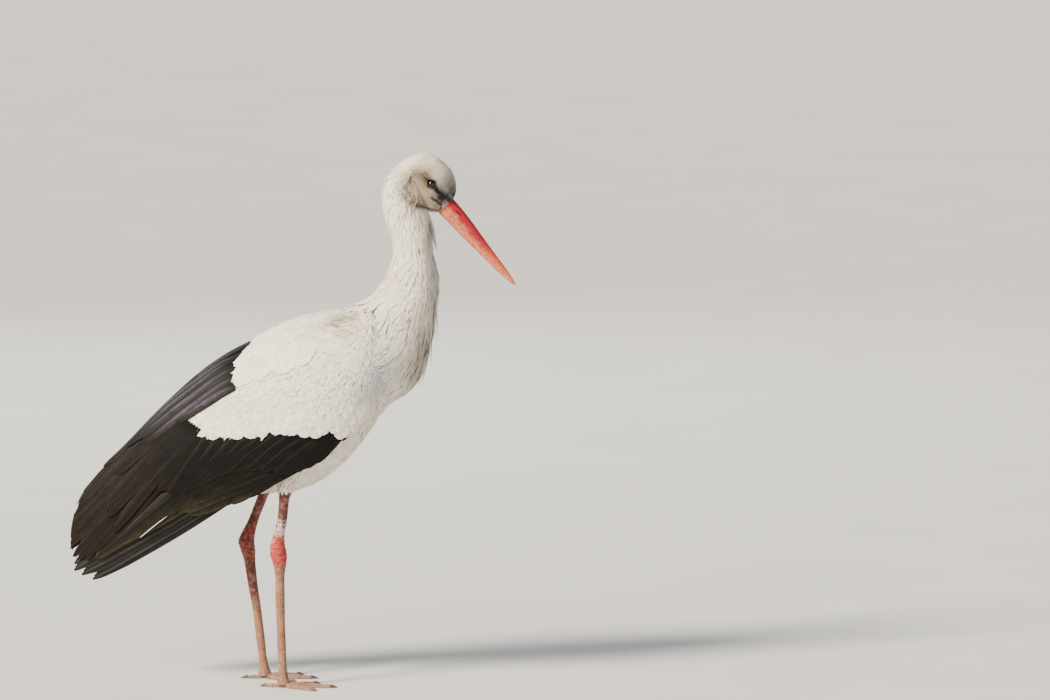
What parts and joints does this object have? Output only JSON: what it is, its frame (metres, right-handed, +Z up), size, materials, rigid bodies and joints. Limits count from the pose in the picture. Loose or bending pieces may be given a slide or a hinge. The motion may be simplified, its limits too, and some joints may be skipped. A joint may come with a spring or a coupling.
{
  "type": "white stork",
  "caption": "Life-size still figure of a standing adult white stork: long bill held low, folded black-and-white wings, long bare legs.",
  "frame": {"origin": "on the floor plane of the soles, at the middle of the bounding box", "axes": "+Z up, +X ahead of the bird, +Y to the bird's left"},
  "size_m": [0.7176, 0.2192, 0.8548],
  "materials": {
    "white_plumage": "soft white feathers, matt, with grey-beige shade between them",
    "black_plumage": "black-brown flight feathers with a faint cool sheen and worn brown edges",
    "grey_plumage": "grey-brown folded primaries with pale shafts",
    "bill": "horny red bill, satin, with dried pale earth on its sides",
    "leg_skin": "scaly red to salmon leg skin, dusty",
    "face_skin": "bare blackish skin round the eye and at the chin",
    "eye": "wet dark brown eye with a black pupil",
    "claw": "dark brown-black horn"
  },
  "bodies": {
    "root": {"head": "white_plumage", "neck_upper": "white_plumage", "neck_lower": "white_plumage", "trunk": "white_plumage", "tail": "white_plumage", "wing_right": "white_plumage", "wing_left": "white_plumage", "thigh_right": "white_plumage", "thigh_left": "white_plumage", "flight_feathers_right": "black_plumage", "primaries_right": "grey_plumage", "shank_right": "leg_skin", "tarsus_right": "leg_skin", "foot_right": "leg_skin", "eye_right": "eye", "claw_right_middle": "claw", "claw_right_inner": "claw", "claw_right_outer": "claw", "claw_right_hind": "claw", "flight_feathers_left": "black_plumage", "primaries_left": "grey_plumage", "shank_left": "leg_skin", "tarsus_left": "leg_skin", "foot_left": "leg_skin", "eye_left": "eye", "claw_left_middle": "claw", "claw_left_inner": "claw", "claw_left_outer": "claw", "claw_left_hind": "claw", "bill_upper": "bill", "bill_lower": "bill"}
  },
  "joints": []
}
